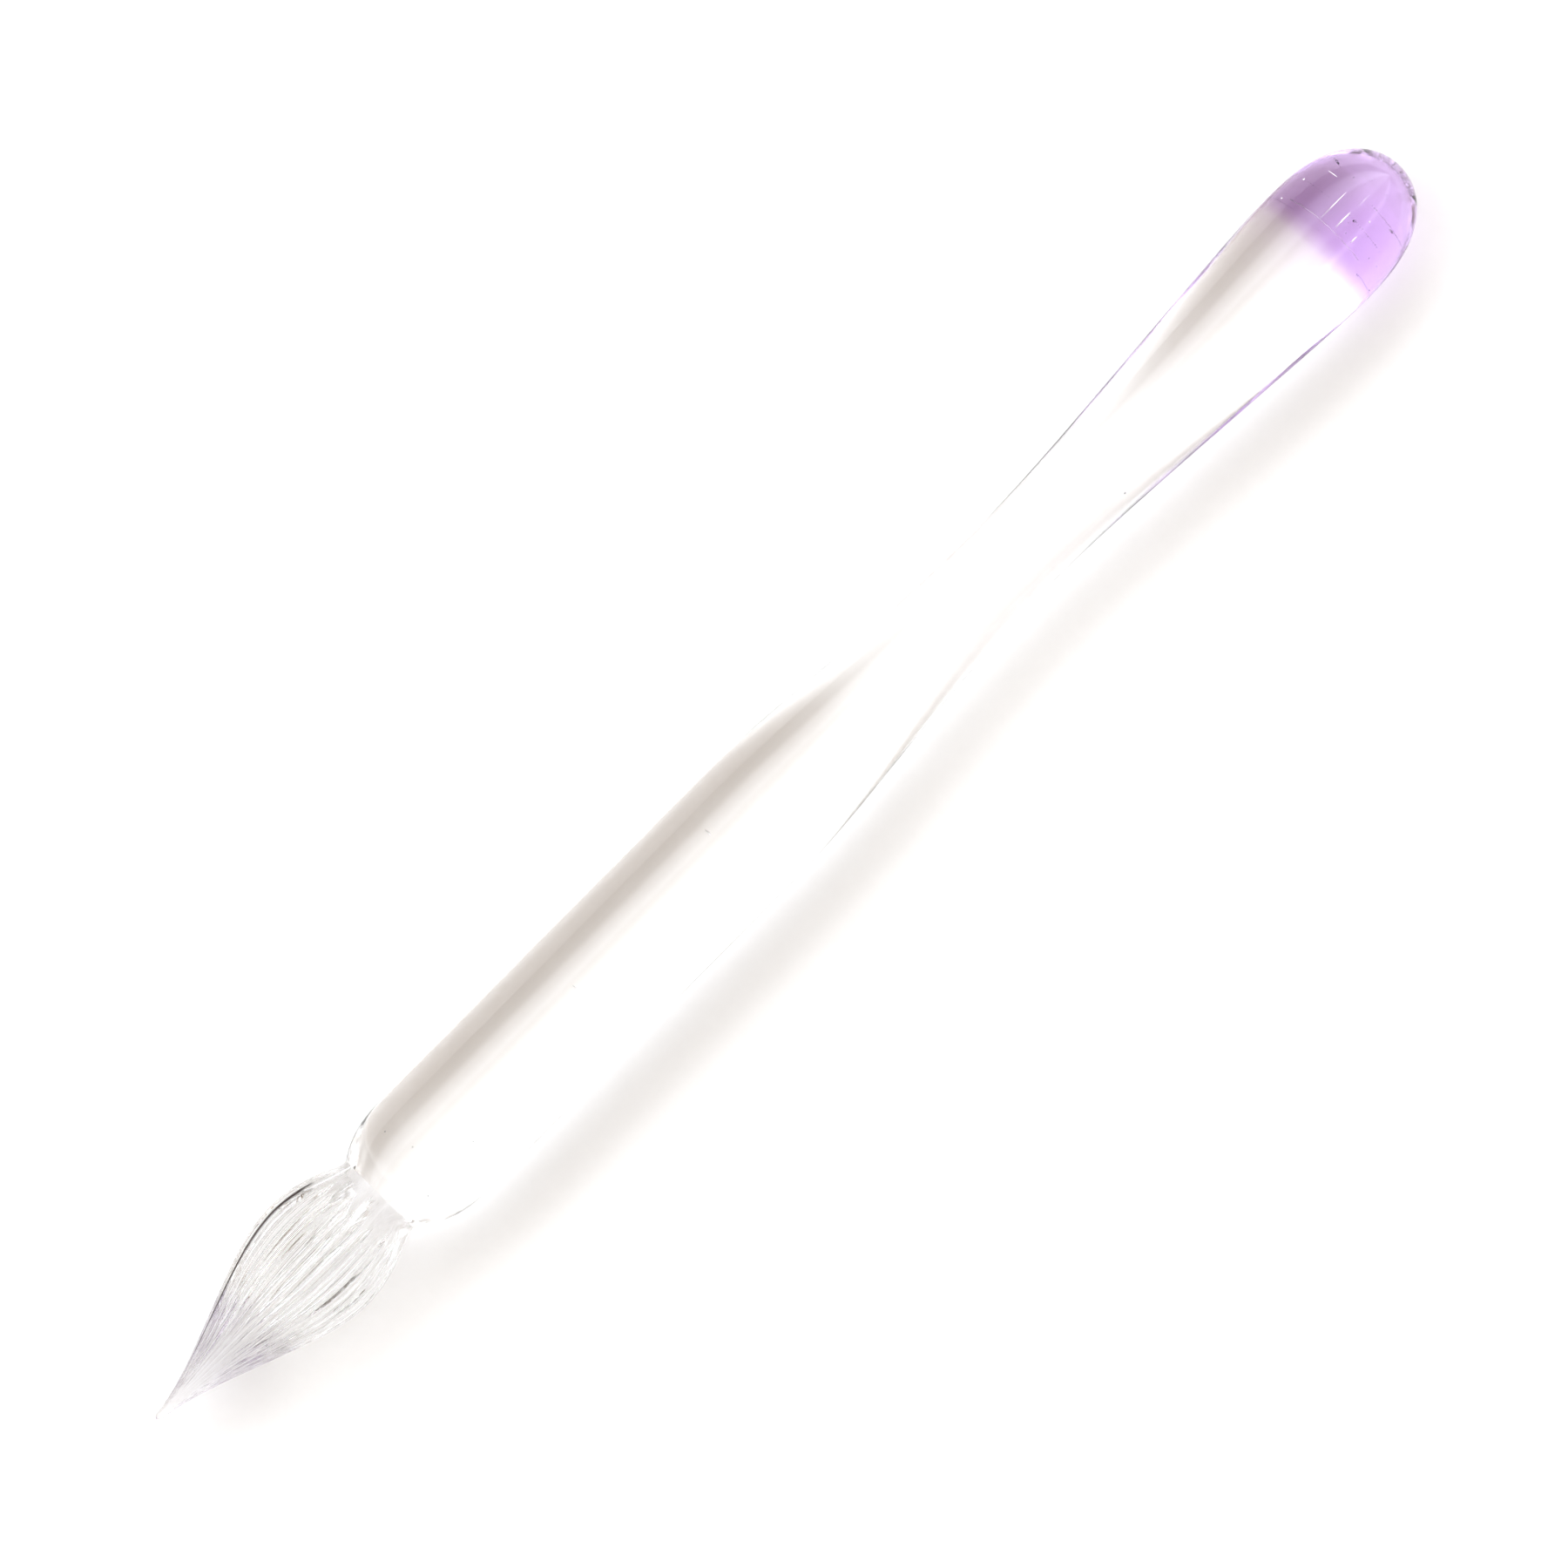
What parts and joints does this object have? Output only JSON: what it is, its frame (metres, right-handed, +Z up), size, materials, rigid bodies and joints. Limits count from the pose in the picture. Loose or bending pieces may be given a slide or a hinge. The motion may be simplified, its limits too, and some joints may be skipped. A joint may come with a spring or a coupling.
{
  "type": "dip pen",
  "caption": "Solid glass dip pen lying on its side: fluted flame-shaped nib, straight grip, drawn waist and a rounded lilac glass end.",
  "frame": {"origin": "under the middle of the pen's length, on the surface that the pen lies on", "axes": "+X along the pen from the nib to the lilac end, +Z up, away from the surface"},
  "size_m": [0.152, 0.012, 0.012],
  "materials": {
    "nib_glass": "clear fluted glass, fire-polished",
    "clear_glass": "clear glass, fire-polished, with a few fine seeds",
    "lilac_glass": "transparent lilac glass, fire-polished, with drawn-out bubbles"
  },
  "bodies": {
    "root": {"nib": "nib_glass", "barrel": "clear_glass", "lilac_end": "lilac_glass"}
  },
  "joints": []
}
